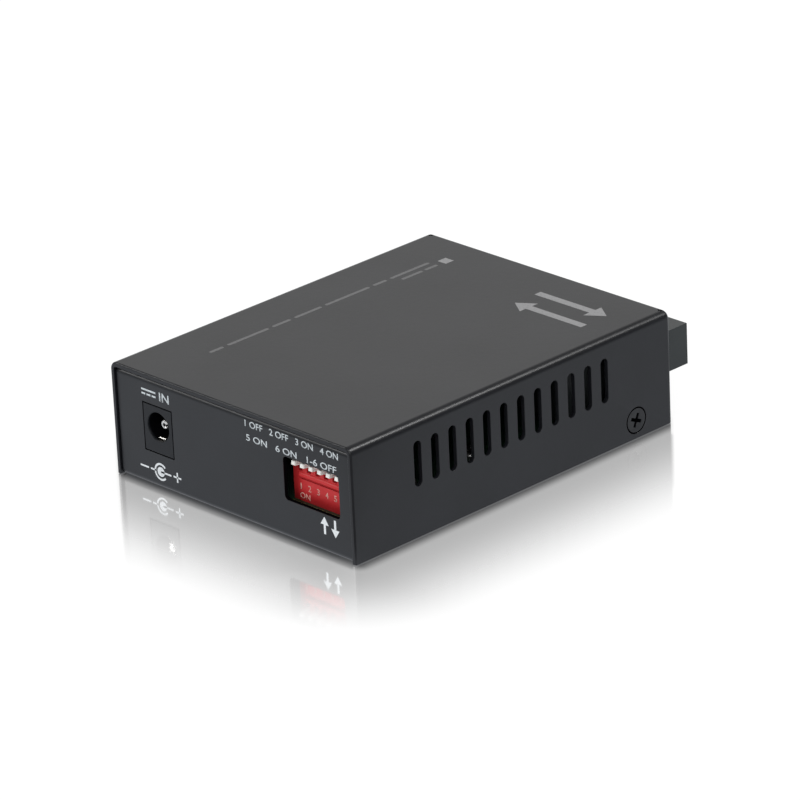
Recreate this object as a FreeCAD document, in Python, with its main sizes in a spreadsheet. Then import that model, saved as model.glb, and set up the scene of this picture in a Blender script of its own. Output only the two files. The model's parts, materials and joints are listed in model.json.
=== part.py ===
import FreeCAD, Part
import os
import re
import Sketcher
from FreeCAD import Placement, Rotation, Vector

# Fibre media converter: a folded steel case that holds one circuit board.
# Frame: +Z up, origin at the middle of the underside, +Y out of the rear panel with the
# power jack and the mode switch, -Y out of the front with the copper and fibre ports.

doc = FreeCAD.newDocument("fibre_media_converter")
sheet = doc.addObject("Spreadsheet::Sheet", "dims")

DIMENSIONS = {
    # case
    "case_width": 72.6,
    "case_depth": 95.0,
    "case_height": 25.95,
    "cover_sheet": 1.0,
    "cover_bend": 1.8,
    "cover_lift": 0.15,
    "front_bend": 1.2,
    "lip_width": 2.4,
    "relief_radius": 0.6,
    "rim_round": 0.4,
    "base_sheet": 1.0,
    "base_width": 70.1,
    "base_height": 24.75,
    "base_bend": 1.4,
    "rear_recess": 0.5,
    "front_recess": 1.0,
    "flange_depth": 6.0,
    # tabs that the cover's sides lie against
    "tab_length": 12.0,
    "tab_height": 8.0,
    "tab_root": 2.0,
    "tab_gap": 0.05,
    "tab_notch": 1.2,
    "rear_tab_y": 38.0,
    # side vents
    "vent_middle": 1.05,
    "vent_pitch": 5.05,
    "vent_count": 12,
    "vent_width": 2.2,
    "vent_low": 11.4,
    "vent_high": 21.55,
    # side screws
    "screw_y": -36.1,
    "screw_z": 4.3,
    "screw_head_radius": 2.7,
    "screw_ring_radius": 3.05,
    "screw_ring_depth": 0.25,
    "screw_radius": 1.5,
    "screw_slack": 0.02,
    "screw_length": 5.0,
    "screw_hole_radius": 2.2,
    "screw_turn": 23.0,
    "recess_span": 3.4,
    "recess_width": 0.8,
    "recess_depth": 1.2,
    "recess_taper": 0.4,
    # circuit board and what holds it
    "board_top": 8.2,
    "board_thickness": 1.6,
    "board_width": 66.0,
    "board_front": -44.5,
    "board_rear": 45.1,
    "board_hole_radius": 1.6,
    "pin_hole_radius": 0.45,
    "terminal_reach": 1.0,
    "standoff_x": 29.0,
    "standoff_front_y": 6.5,
    "standoff_rear_y": 26.0,
    "standoff_across": 5.0,
    "standoff_bore_radius": 1.25,
    "standoff_bore_depth": 4.5,
    "board_screw_radius": 1.22,
    "board_screw_length": 4.5,
    "board_screw_head_radius": 2.6,
    "board_screw_head_height": 1.9,
    "board_screw_dome": 0.9,
    "board_screw_slot_length": 3.0,
    "board_screw_slot_width": 0.7,
    "board_screw_slot_depth": 1.1,
    # power jack
    "jack_x": 22.8,
    "jack_width": 8.6,
    "jack_high": 18.75,
    "jack_length": 14.4,
    "jack_gap": 0.3,
    "jack_axis_z": 14.2,
    "jack_bore_radius": 3.2,
    "jack_bore_depth": 9.5,
    "jack_mouth_chamfer": 0.2,
    "jack_pin_radius": 1.025,
    "jack_pin_recess": 1.7,
    "jack_pin_round": 0.25,
    "jack_pin_hollow": 0.4,
    "jack_pin_slit": 0.4,
    "jack_pin_slit_depth": 4.0,
    "jack_leg_width": 2.2,
    "jack_leg_sheet": 0.4,
    "jack_slot_width": 2.6,
    "jack_slot_height": 0.8,
    "spring_width": 2.0,
    "spring_sheet": 0.3,
    "spring_clearance": 0.1,
    "spring_sink": 0.2,
    "spring_tip": 0.9,
    "spring_crown_radius": 0.45,
    # mode switch
    "switch_x": -23.95,
    "switch_pitch": 2.54,
    "switch_width": 16.9,
    "switch_high": 18.65,
    "switch_recess": 2.7,
    "switch_thickness": 7.0,
    "switch_shoulder": 1.3,
    "switch_pin_setback": 0.9,
    "switch_pin_width": 0.5,
    "switch_pin_sheet": 0.24,
    "ledge_low": 13.65,
    "ledge_high": 14.9,
    "ledge_depth": 0.5,
    "ledge_round": 0.7,
    "groove_height": 0.5,
    "groove_depth": 0.35,
    "lever_width": 1.1,
    "lever_height": 1.0,
    "lever_reach": 6.1,
    "lever_round": 0.25,
    "lever_hub_radius": 1.5,
    "lever_clearance": 0.08,
    "lever_angle": 7.5,
    "lever_pivot_z": 16.5,
    "lever_proud": 2.0,
    "lever_slot_low": 15.0,
    "lever_slot_high": 18.0,
    "window_left": -15.45,
    "window_right": -31.8,
    "window_low": 8.8,
    "window_high": 18.6,
    "window_round": 1.0,
    # fibre transceiver
    "fibre_x": -18.6,
    "fibre_width": 25.4,
    "fibre_nose_low": 9.0,
    "fibre_nose_high": 18.4,
    "fibre_body_low": 8.6,
    "fibre_body_high": 18.9,
    "fibre_nose_reach": 10.4,
    "fibre_length": 39.6,
    "fibre_gap": 0.2,
    "fibre_post_x": 10.2,
    "fibre_post_y": 16.6,
    "fibre_post_radius": 0.95,
    "fibre_post_hole_radius": 1.0,
    "fibre_foot": 3.0,
    "fibre_pin_pitch": 2.54,
    "fibre_pin_width": 0.5,
    "fibre_pin_setback": 2.2,
    "port_pitch": 12.7,
    "port_width": 9.2,
    "port_height": 7.4,
    "port_depth": 13.2,
    "port_key_width": 2.5,
    "port_key_height": 0.6,
    "port_key_depth": 9.0,
    "port_sleeve_radius": 2.2,
    "port_sleeve_bore": 1.26,
    "port_sleeve_length": 6.5,
    "port_plate": 1.2,
    "latch_arm_x": 3.7,
    "latch_arm_sheet": 0.7,
    "latch_arm_height": 2.6,
    "latch_hook": 0.9,
    "latch_hook_length": 1.2,
    # copper port
    "copper_x": 20.8,
    "copper_width": 16.0,
    "copper_height": 13.3,
    "copper_length": 21.4,
    "copper_proud": 0.7,
    "copper_gap": 0.2,
    "copper_shield": 0.25,
    "copper_frame": 0.4,
    "copper_peg_x": 5.76,
    "copper_peg_y": 11.8,
    "copper_peg_radius": 1.6,
    "copper_peg_hole_radius": 1.65,
    "plug_width": 11.8,
    "plug_low": 3.4,
    "plug_high": 10.4,
    "plug_depth": 14.0,
    "latch_width": 6.2,
    "latch_low": 1.6,
    "comb_width": 9.2,
    "comb_height": 0.5,
    "comb_reach": 4.0,
    "comb_back": 1.5,
    "tail_well_width": 10.0,
    "tail_well_length": 3.5,
    "contact_pitch": 1.02,
    "contact_width": 0.45,
    "contact_sheet": 0.3,
    "contact_length": 9.0,
    "contact_slope": 16.0,
    "contact_drop": 2.4,
    "contact_start": 3.0,
    "contact_bend": 2.6,
    "tail_pitch": 1.27,
    "tail_width": 0.4,
    "tail_setback": 3.2,
    "tail_stagger": 1.0,
    # indicator lamps
    "lamp_x": 3.4,
    "lamp_pitch_x": 4.0,
    "lamp_low_z": 11.6,
    "lamp_pitch_z": 5.0,
    "lamp_radius": 1.0,
    "lamp_round": 0.7,
    "lamp_hole_radius": 1.15,
    "lamp_proud": 0.5,
    "lamp_collar": 0.4,
    "lamp_collar_length": 0.7,
    "lamp_leg_x": 0.7,
    "lamp_leg_y": 6.6,
    "lamp_leg_step": 1.5,
    "lamp_leg_width": 0.4,
    "holder_gap": 0.1,
    "holder_depth": 3.2,
    "holder_top": 2.2,
    # parts soldered on the board
    "lead_sheet": 0.25,
    "lead_share": 0.44,
    "lead_reach": 1.0,
    "package_stand": 0.1,
    "crystal_round": 1.8,
    "capacitor_round": 0.3,
    "capacitor_seal": 0.4,
    "strap_share": 0.56,
}

for row, (alias, number) in enumerate(DIMENSIONS.items(), 1):
    sheet.set(f"A{row}", alias)
    sheet.set(f"B{row}", str(number))
    sheet.setAlias(f"B{row}", alias)
doc.recompute()


# ---- working with the sheet ----

def size(alias):
    """The number that a cell of the sheet holds."""
    return float(sheet.get(alias))


def bind(item, prop, formula):
    """Ties a property to a formula in the sheet's names, so that it follows the sheet."""
    named = re.sub(r"[a-z]\w*", lambda word: f"dims.{word[0]}" if word[0] in DIMENSIONS else word[0], formula)
    item.setExpression(prop, named)


REAR_FACE = "(case_depth / 2 - rear_recess)"
FRONT_FACE = "(-case_depth / 2 + front_recess)"
NUMBER_FACE = "(case_depth / 2 - rear_recess - switch_recess)"
NOSE_FACE = "(-case_depth / 2 - fibre_nose_reach)"
COPPER_FACE = "(-case_depth / 2 + front_recess - copper_proud)"
COPPER_BACK = f"({COPPER_FACE} + copper_length)"
INNER_WALL = "(case_width / 2 - cover_sheet)"
JACK_BACK = f"({REAR_FACE} - jack_length)"
JACK_BORE_END = f"({REAR_FACE} - jack_bore_depth)"
SPRING_LOW = "(jack_axis_z - jack_bore_radius - spring_sink)"
PORT_Z = "((fibre_nose_low + fibre_nose_high) / 2)"
PORT_BACK = f"({NOSE_FACE} + port_depth)"
BOARD_LOW = "(board_top - board_thickness)"
TAIL_LOW = f"({BOARD_LOW} - terminal_reach)"
LEVERS = 6

rear_face = size("case_depth") / 2 - size("rear_recess")
front_face = -size("case_depth") / 2 + size("front_recess")


# ---- primitives with bound sizes ----

def block(x, y, z):
    """A box from pairs of formulas: its low and high side along each axis."""
    box = doc.addObject("Part::Box", "block")
    for prop, (low, high) in zip(("Length", "Width", "Height"), (x, y, z)):
        bind(box, prop, f"({high}) - ({low})")
    for axis, (low, _) in zip("xyz", (x, y, z)):
        bind(box, f"Placement.Base.{axis}", low)
    return box


TURNS = {"x": Rotation(Vector(0, 1, 0), 90), "y": Rotation(Vector(1, 0, 0), -90), "z": Rotation()}


def rod(axis, x, y, z, radius, length):
    """A cylinder that starts at a point and runs along +X, +Y or +Z."""
    cylinder = doc.addObject("Part::Cylinder", "rod")
    bind(cylinder, "Radius", radius)
    bind(cylinder, "Height", length)
    cylinder.Placement = Placement(Vector(), TURNS[axis])
    for name, formula in zip("xyz", (x, y, z)):
        bind(cylinder, f"Placement.Base.{name}", formula)
    return cylinder


def cone(axis, x, y, z, radius_start, radius_end, length):
    """A cone that starts at a point and runs along +X, +Y or +Z."""
    item = doc.addObject("Part::Cone", "cone")
    bind(item, "Radius1", radius_start)
    bind(item, "Radius2", radius_end)
    bind(item, "Height", length)
    item.Placement = Placement(Vector(), TURNS[axis])
    for name, formula in zip("xyz", (x, y, z)):
        bind(item, f"Placement.Base.{name}", formula)
    return item


def middle_block(x, y, z):
    """A box from pairs of formulas: its middle and width along X and along Y, its low and high side in Z."""
    sides = [(f"{middle} - ({width}) / 2", f"{middle} + ({width}) / 2") for middle, width in (x, y)]
    return block(*sides, z)


def join(name, items):
    fused = doc.addObject("Part::MultiFuse", name)
    fused.Shapes = items
    fused.Refine = True
    fused.Label = name
    return fused


def remove(name, item, tools):
    cutter = tools[0] if len(tools) == 1 else join(f"{name}_cutter", tools)
    result = doc.addObject("Part::Cut", name)
    result.Base = item
    result.Tool = cutter
    result.Refine = True
    result.Label = name
    return result


def group(name, items):
    """Like pieces kept as separate solids under one name."""
    pieces = doc.addObject("Part::Compound", name)
    pieces.Links = items
    pieces.Label = name
    return pieces


def edges_where(shape, test):
    return [number for number, edge in enumerate(shape.Edges, 1) if test(edge)]


def rounded(name, item, alias, test):
    """The item with the edges that pass the test rounded to a radius of the sheet."""
    doc.recompute()
    radius = size(alias)
    result = doc.addObject("Part::Fillet", name)
    result.Base = item
    result.Edges = [(number, radius, radius) for number in edges_where(item.Shape, test)]
    result.Label = name
    return result


def near(first, second):
    return abs(first - second) < 0.001


def runs_along(edge, axis):
    """True for a straight edge along one axis."""
    if edge.Curve.TypeId != "Part::GeomLine":
        return False
    return near(abs(getattr(edge.Curve.Direction, axis)), 1)


# ---- bodies with sketches ----

def new_body(name):
    body = doc.addObject("PartDesign::Body", name)
    body.Label = name
    return body


def new_sketch(body, role, offset="0"):
    """A sketch on one of the body's own origin planes, moved along that plane's normal."""
    sketch = body.newObject("Sketcher::SketchObject", "sketch")
    plane = next(item for item in body.Origin.OriginFeatures if item.Role == role)
    sketch.AttachmentSupport = [(plane, "")]
    sketch.MapMode = "FlatFace"
    bind(sketch, "AttachmentOffset.Base.z", offset)
    return sketch


def hold(sketch, kind, geometry, point, formula, start=1.0):
    """Ties a point's distance from the sketch's origin to a formula."""
    index = sketch.addConstraint(Sketcher.Constraint(kind, -1, 1, geometry, point, start))
    bind(sketch, f"Constraints[{index}]", formula)


def add_outline(sketch, corners):
    """Straight lines from each corner to the next and back to the first."""
    following = corners[1:] + corners[:1]
    sketch.addGeometry([Part.LineSegment(start, end) for start, end in zip(corners, following)])


def add_rectangle(sketch, x, y):
    first = sketch.GeometryCount
    add_outline(sketch, [Vector(1, 1, 0), Vector(2, 1, 0), Vector(2, 2, 0), Vector(1, 2, 0)])
    for i in range(4):
        sketch.addConstraint(Sketcher.Constraint("Coincident", first + i, 2, first + (i + 1) % 4, 1))
        sketch.addConstraint(Sketcher.Constraint("Vertical" if i % 2 else "Horizontal", first + i))
    for corner, end in ((first, 0), (first + 2, 1)):
        hold(sketch, "DistanceX", corner, 1, x[end])
        hold(sketch, "DistanceY", corner, 1, y[end])


def add_circle(sketch, x, y, radius):
    circle = sketch.addGeometry(Part.Circle(Vector(1, 1, 0), Vector(0, 0, 1), 1))
    hold(sketch, "DistanceX", circle, 3, x)
    hold(sketch, "DistanceY", circle, 3, y)
    index = sketch.addConstraint(Sketcher.Constraint("Radius", circle, 1.0))
    bind(sketch, f"Constraints[{index}]", radius)


def add_upright_slot(sketch, x, low, high, width):
    """A slot with round ends: its middle, two ends and width, each a formula with its number."""
    half = width[1] / 2
    left, right = x[1] - half, x[1] + half
    bottom, top = low[1] + half, high[1] - half
    upwards = sketch.addGeometry(Part.LineSegment(Vector(left, bottom, 0), Vector(left, top, 0)))
    downwards = sketch.addGeometry(Part.LineSegment(Vector(right, top, 0), Vector(right, bottom, 0)))
    over = (Vector(right, top, 0), Vector(x[1], high[1], 0), Vector(left, top, 0))
    under = (Vector(left, bottom, 0), Vector(x[1], low[1], 0), Vector(right, bottom, 0))
    crown = sketch.addGeometry(Part.Arc(*over))
    foot = sketch.addGeometry(Part.Arc(*under))
    for first, point, second, other in ((upwards, 2, crown, 2), (crown, 1, downwards, 1),
                                        (downwards, 2, foot, 2), (foot, 1, upwards, 1)):
        sketch.addConstraint(Sketcher.Constraint("Tangent", first, point, second, other))
    sketch.addConstraint(Sketcher.Constraint("Vertical", upwards))
    index = sketch.addConstraint(Sketcher.Constraint("Radius", crown, half))
    bind(sketch, f"Constraints[{index}]", f"{width[0]} / 2")
    hold(sketch, "DistanceX", crown, 3, x[0], x[1])
    hold(sketch, "DistanceY", crown, 3, f"{high[0]} - {width[0]} / 2", top)
    hold(sketch, "DistanceY", foot, 3, f"{low[0]} + {width[0]} / 2", bottom)


def pad(body, sketch, length):
    feature = body.newObject("PartDesign::Pad", "pad")
    feature.Profile = sketch
    bind(feature, "Length", length)
    doc.recompute()
    return feature


def pocket(body, sketch, depth, forwards):
    """Cuts along the sketch plane's normal when forwards, and against it otherwise."""
    before = body.Shape.Volume
    feature = body.newObject("PartDesign::Pocket", "pocket")
    feature.Profile = sketch
    feature.Reversed = forwards
    bind(feature, "Length", depth)
    doc.recompute()
    if body.Shape.Volume > before - 0.001:
        raise RuntimeError(f"a pocket in {body.Label} cuts nothing")
    return feature


def soften(body, kind, prop, formula, test):
    """Rounds or chamfers the edges of the body that pass the test."""
    base = body.Tip
    names = [f"Edge{number}" for number in edges_where(base.Shape, test)]
    feature = body.newObject(kind, "edges")
    feature.Base = (base, names)
    bind(feature, prop, formula)
    body.Tip = feature
    doc.recompute()
    return feature


def shell(body, sheet_formula, test):
    """Hollows the body to sheet thickness and opens the faces that pass the test."""
    base = body.Tip
    faces = [f"Face{number}" for number, face in enumerate(base.Shape.Faces, 1) if test(face)]
    feature = body.newObject("PartDesign::Thickness", "shell")
    feature.Base = (base, faces)
    feature.Reversed = True
    bind(feature, "Value", sheet_formula)
    body.Tip = feature
    doc.recompute()
    return feature


# ---- case ----

def make_top_cover():
    """Top and sides folded from one sheet, with a lip turned in round the front."""
    half_width, half_depth, height = size("case_width") / 2, size("case_depth") / 2, size("case_height")
    body = new_body("top_cover")
    outline = new_sketch(body, "XY_Plane", "cover_lift")
    add_rectangle(outline, ("-case_width / 2", "case_width / 2"), ("-case_depth / 2", "case_depth / 2"))
    pad(body, outline, "case_height - cover_lift")
    soften(body, "PartDesign::Fillet", "Radius", "cover_bend",
           lambda edge: runs_along(edge, "y") and near(edge.BoundBox.ZMin, height))
    soften(body, "PartDesign::Fillet", "Radius", "front_bend",
           lambda edge: near(edge.BoundBox.YMax, -half_depth) and edge.BoundBox.ZMax > size("cover_lift") + 1)
    shell(body, "cover_sheet", lambda face: near(face.BoundBox.YMin, half_depth)
          or near(face.BoundBox.ZMax, size("cover_lift")))
    mouth = new_sketch(body, "XZ_Plane", "case_depth / 2")
    add_rectangle(mouth, ("-case_width / 2 + lip_width", "case_width / 2 - lip_width"),
                  ("-1", "case_height - lip_width"))
    pocket(body, mouth, "cover_sheet + 1", False)
    reliefs = new_sketch(body, "XY_Plane", "case_height - cover_sheet - 1")
    for side in ("", "-"):
        add_circle(reliefs, f"{side}(case_width / 2 - cover_bend)", "-case_depth / 2 + front_bend",
                   "relief_radius")
    pocket(body, reliefs, "cover_sheet + 2", True)
    vent = new_sketch(body, "YZ_Plane", "-case_width / 2 - 1")
    first_y = size("vent_middle") - size("vent_pitch") * (size("vent_count") - 1) / 2
    add_upright_slot(vent, ("vent_middle - vent_pitch * (vent_count - 1) / 2", first_y),
                     *((alias, size(alias)) for alias in ("vent_low", "vent_high", "vent_width")))
    first_vent = pocket(body, vent, "case_width + 2", True)
    row = body.newObject("PartDesign::LinearPattern", "vent_row")
    row.Originals = [first_vent]
    row.Direction = (vent, ["H_Axis"])
    bind(row, "Length", "vent_pitch * (vent_count - 1)")
    bind(row, "Occurrences", "vent_count")
    body.Tip = row
    doc.recompute()
    screw_holes = new_sketch(body, "YZ_Plane", "-case_width / 2 - 1")
    add_circle(screw_holes, "screw_y", "screw_z", "screw_hole_radius")
    pocket(body, screw_holes, "case_width + 2", True)
    soften(body, "PartDesign::Chamfer", "Size", "screw_head_radius + screw_ring_depth - screw_hole_radius",
           lambda edge: is_circle(edge, "screw_hole_radius") and near(abs(edge.BoundBox.XMin), half_width))
    for side, forwards in (("-", True), ("", False)):
        ring = new_sketch(body, "YZ_Plane", f"{side}(case_width / 2 + 1)")
        add_circle(ring, "screw_y", "screw_z", "screw_ring_radius")
        pocket(body, ring, "1 + screw_ring_depth", forwards)
    soften(body, "PartDesign::Fillet", "Radius", "rim_round",
           lambda edge: near(edge.BoundBox.YMin, half_depth) and is_outer(edge, half_width, height))
    return body


def is_circle(edge, alias):
    """True for a round edge of a radius of the sheet."""
    return edge.Curve.TypeId == "Part::GeomCircle" and near(edge.Curve.Radius, size(alias))


def is_outer(edge, half_width, height):
    """True for an edge on the outside of the cover rather than on its inner face."""
    middle = edge.CenterOfMass
    if near(abs(middle.x), half_width) or near(middle.z, height):
        return edge.Length > size("cover_bend")
    return is_circle(edge, "cover_bend")


def make_base_chassis():
    """Bottom, rear panel and front panel folded from one sheet, with tabs for the cover's screws."""
    tab_face = size("case_width") / 2 - size("cover_sheet") - size("tab_gap")
    body = new_body("base_chassis")
    outline = new_sketch(body, "XY_Plane")
    add_rectangle(outline, ("-base_width / 2", "base_width / 2"), (FRONT_FACE, REAR_FACE))
    pad(body, outline, "base_height")
    soften(body, "PartDesign::Fillet", "Radius", "base_bend", lambda edge: runs_along(edge, "x"))
    shell(body, "base_sheet", lambda face: near(face.BoundBox.XLength, 0))
    opening = new_sketch(body, "XY_Plane", "base_height - base_sheet - 1")
    add_rectangle(opening, ("-base_width / 2 - 1", "base_width / 2 + 1"),
                  (f"{FRONT_FACE} + flange_depth", f"{REAR_FACE} - flange_depth"))
    pocket(body, opening, "base_sheet + 2", True)

    tab_places = [(side, middle) for side in ("", "-") for middle in ("screw_y", "rear_tab_y")]
    tabs = new_sketch(body, "XY_Plane")
    for side, middle in tab_places:
        add_rectangle(tabs, (f"{side}(base_width / 2 - tab_root)", f"{side}({INNER_WALL} - tab_gap)"),
                      (f"{middle} - tab_length / 2", f"{middle} + tab_length / 2"))
    pad(body, tabs, "tab_height")
    notches = new_sketch(body, "XY_Plane")
    for side, middle in tab_places:
        for end in (-1, 1):
            notch_y = f"{middle} + {end} * (tab_length + tab_notch) / 2"
            add_rectangle(notches, (f"{side}(base_width / 2 - tab_root)", f"{side}(base_width / 2 + 1)"),
                          (f"{notch_y} - tab_notch / 2", f"{notch_y} + tab_notch / 2"))
    pocket(body, notches, "base_sheet", True)
    soften(body, "PartDesign::Fillet", "Radius", "base_bend",
           lambda edge: runs_along(edge, "y") and near(edge.BoundBox.ZMin, 0)
           and near(abs(edge.BoundBox.XMin), tab_face))
    hollows = new_sketch(body, "XY_Plane", "base_sheet")
    for side, middle in tab_places:
        add_rectangle(hollows,
                      (f"{side}(base_width / 2 - tab_root - 1)",
                       f"{side}({INNER_WALL} - tab_gap - base_sheet)"),
                      (f"{middle} - tab_length / 2", f"{middle} + tab_length / 2"))
    pocket(body, hollows, "tab_height", True)
    screw_holes = new_sketch(body, "YZ_Plane", "-case_width / 2")
    add_circle(screw_holes, "screw_y", "screw_z", "screw_radius")
    pocket(body, screw_holes, "case_width", True)
    soften(body, "PartDesign::Chamfer", "Size",
           "screw_head_radius + screw_ring_depth - cover_sheet - tab_gap - screw_radius",
           lambda edge: is_circle(edge, "screw_radius") and near(abs(edge.BoundBox.XMin), tab_face))

    rear = new_sketch(body, "XZ_Plane", f"-{REAR_FACE} - 1")
    add_rectangle(rear, ("jack_x - jack_width / 2 - jack_gap", "jack_x + jack_width / 2 + jack_gap"),
                  ("board_top - jack_gap", "jack_high + jack_gap"))
    add_rectangle(rear, ("window_right", "window_left"), ("window_low", "window_high"))
    pocket(body, rear, "base_sheet + 2", True)
    soften(body, "PartDesign::Fillet", "Radius", "window_round",
           lambda edge: runs_along(edge, "y") and edge.BoundBox.YMax > 0
           and any(near(edge.BoundBox.XMin, size(side)) for side in ("window_left", "window_right")))

    front = new_sketch(body, "XZ_Plane", f"-{FRONT_FACE} + 1")
    add_rectangle(front, ("fibre_x - fibre_width / 2 - fibre_gap", "fibre_x + fibre_width / 2 + fibre_gap"),
                  ("fibre_nose_low - fibre_gap", "fibre_nose_high + fibre_gap"))
    add_rectangle(front,
                  ("copper_x - copper_width / 2 - copper_gap", "copper_x + copper_width / 2 + copper_gap"),
                  ("board_top - copper_gap", "board_top + copper_height + copper_gap"))
    for x, z, _ in lamp_places():
        add_circle(front, x, z, "lamp_hole_radius")
    pocket(body, front, "base_sheet + 2", False)
    return body


def make_recess_bar(half_height, half_width):
    """One bar of a cross recess, tapered along +X into the screw."""
    bar = doc.addObject("Part::Wedge", "recess_bar")
    for axis, half in (("X", half_width), ("Z", half_height)):
        for mark, share in (("", "1"), ("2", "recess_taper")):
            bind(bar, f"{axis}{mark}min", f"-{half} * {share}")
            bind(bar, f"{axis}{mark}max", f"{half} * {share}")
    bind(bar, "Ymin", "0")
    bind(bar, "Ymax", "recess_depth")
    bar.Placement = Placement(Vector(), Rotation(Vector(0, 0, 1), -90))
    return bar


def make_cover_screw(name, side):
    """Countersunk machine screw with a cross recess, driven inwards through the cover's side."""
    taper = "(screw_head_radius - screw_radius)"
    rim = rod("x", "0", "0", "0", "screw_head_radius", "screw_ring_depth")
    head = cone("x", "screw_ring_depth", "0", "0", "screw_head_radius", "screw_radius", taper)
    shank = rod("x", f"screw_ring_depth + {taper}", "0", "0", "screw_radius - screw_slack",
                f"screw_length - screw_ring_depth - {taper}")
    bars = [make_recess_bar("recess_span / 2", "recess_width / 2"),
            make_recess_bar("recess_width / 2", "recess_span / 2")]
    screw = remove(name, join(f"{name}_blank", [rim, head, shank]), bars)
    inwards = Rotation(Vector(0, 0, 1), 0 if side < 0 else 180)
    screw.Placement = Placement(Vector(), inwards * Rotation(Vector(1, 0, 0), size("screw_turn")))
    bind(screw, "Placement.Base.x", f"{side} * case_width / 2")
    bind(screw, "Placement.Base.y", "screw_y")
    bind(screw, "Placement.Base.z", "screw_z")
    return screw


# ---- circuit board ----

def terminal_places():
    """Where the parts' round-hole terminals pass through the board."""
    return [*switch_terminal_places(), *fibre_terminal_places(), *copper_terminal_places(),
            *lamp_terminal_places()]


def standoff_places():
    rows = ("standoff_front_y", "standoff_rear_y")
    return [(side, row) for side in ("-standoff_x", "standoff_x") for row in rows]


def make_circuit_board():
    body = new_body("circuit_board")
    outline = new_sketch(body, "XY_Plane", BOARD_LOW)
    add_rectangle(outline, ("-board_width / 2", "board_width / 2"), ("board_front", "board_rear"))
    pad(body, outline, "board_thickness")
    drilled = new_sketch(body, "XY_Plane", BOARD_LOW)
    for x, y in standoff_places():
        add_circle(drilled, x, y, "board_hole_radius")
    for side in (-1, 1):
        add_circle(drilled, f"copper_x + {side} * copper_peg_x", f"{COPPER_FACE} + copper_peg_y",
                   "copper_peg_hole_radius")
        add_circle(drilled, f"fibre_x + {side} * fibre_post_x", f"{NOSE_FACE} + fibre_post_y",
                   "fibre_post_hole_radius")
    for x, y in terminal_places():
        drilled.addGeometry(Part.Circle(Vector(x, y, 0), Vector(0, 0, 1), size("pin_hole_radius")))
    half_x, half_y = size("jack_slot_width") / 2, size("jack_slot_height") / 2
    for y in jack_leg_rows():
        add_outline(drilled, [Vector(size("jack_x") + a * half_x, y + b * half_y, 0)
                              for a, b in ((-1, -1), (1, -1), (1, 1), (-1, 1))])
    pocket(body, drilled, "board_thickness", True)
    return body


def make_standoffs():
    """Hexagonal threaded posts fixed to the bottom sheet."""
    posts = []
    for x, y in standoff_places():
        post = doc.addObject("Part::Prism", "post")
        post.Polygon = 6
        bind(post, "Circumradius", "standoff_across / sqrt(3)")
        bind(post, "Height", f"{BOARD_LOW} - base_sheet")
        for axis, formula in zip("xyz", (x, y, "base_sheet")):
            bind(post, f"Placement.Base.{axis}", formula)
        bore = rod("z", x, y, f"{BOARD_LOW} - standoff_bore_depth", "standoff_bore_radius",
                   "standoff_bore_depth + 1")
        posts.append(remove("standoff", post, [bore]))
    return group("board_standoffs", posts)


def make_board_screws():
    """Pan head screws that hold the board on its posts."""
    head_top = size("board_top") + size("board_screw_head_height")
    slot_z = ("board_top + board_screw_head_height - board_screw_slot_depth",
              "board_top + board_screw_head_height + 1")
    screws = []
    for x, y in standoff_places():
        shank = rod("z", x, y, "board_top - board_screw_length", "board_screw_radius", "board_screw_length")
        head = rod("z", x, y, "board_top", "board_screw_head_radius", "board_screw_head_height")
        domed = rounded("domed_head", head, "board_screw_dome",
                        lambda edge: near(edge.BoundBox.ZMin, head_top))
        slots = [
            middle_block((x, "board_screw_slot_length"), (y, "board_screw_slot_width"), slot_z),
            middle_block((x, "board_screw_slot_width"), (y, "board_screw_slot_length"), slot_z),
        ]
        screws.append(remove("board_screw", join("board_screw_blank", [shank, domed]), slots))
    return group("board_screws", screws)


# ---- power jack ----

def jack_leg_rows():
    """Where the two contacts' flat legs pass through the board."""
    pin_leg = rear_face - size("jack_length") - size("jack_leg_sheet") / 2
    spring_leg = rear_face - size("jack_bore_depth") - size("spring_sheet") / 2
    return (pin_leg, spring_leg)


def make_jack_housing():
    """Moulded block on the board with a round bore for the plug's barrel."""
    side = ("jack_x - jack_width / 2", "jack_x + jack_width / 2")
    shape = block(side, (JACK_BACK, REAR_FACE), ("board_top", "jack_high"))
    bore = rod("y", "jack_x", JACK_BORE_END, "jack_axis_z", "jack_bore_radius", "jack_bore_depth + 1")
    mouth = cone("y", "jack_x", f"{REAR_FACE} - jack_mouth_chamfer", "jack_axis_z", "jack_bore_radius",
                 "jack_bore_radius + 2 * jack_mouth_chamfer", "2 * jack_mouth_chamfer")
    pin_hole = rod("y", "jack_x", f"{JACK_BACK} - 1", "jack_axis_z", "jack_pin_radius", "jack_length")
    across = ("jack_x", "spring_width + 2 * spring_clearance")
    groove_length = "(jack_bore_depth - spring_tip + spring_clearance)"
    groove = middle_block(across, (f"({JACK_BORE_END} + {groove_length} / 2)", groove_length),
                          (f"{SPRING_LOW} - spring_clearance", f"{SPRING_LOW} + 2 * spring_sheet"))
    leg_slot = middle_block(across,
                            (f"({JACK_BORE_END} - spring_sheet / 2)", "spring_sheet + 2 * spring_clearance"),
                            ("board_top - 1", f"{SPRING_LOW} + 2 * spring_sheet"))
    return remove("dc_jack_housing", shape, [bore, mouth, pin_hole, groove, leg_slot])


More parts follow.
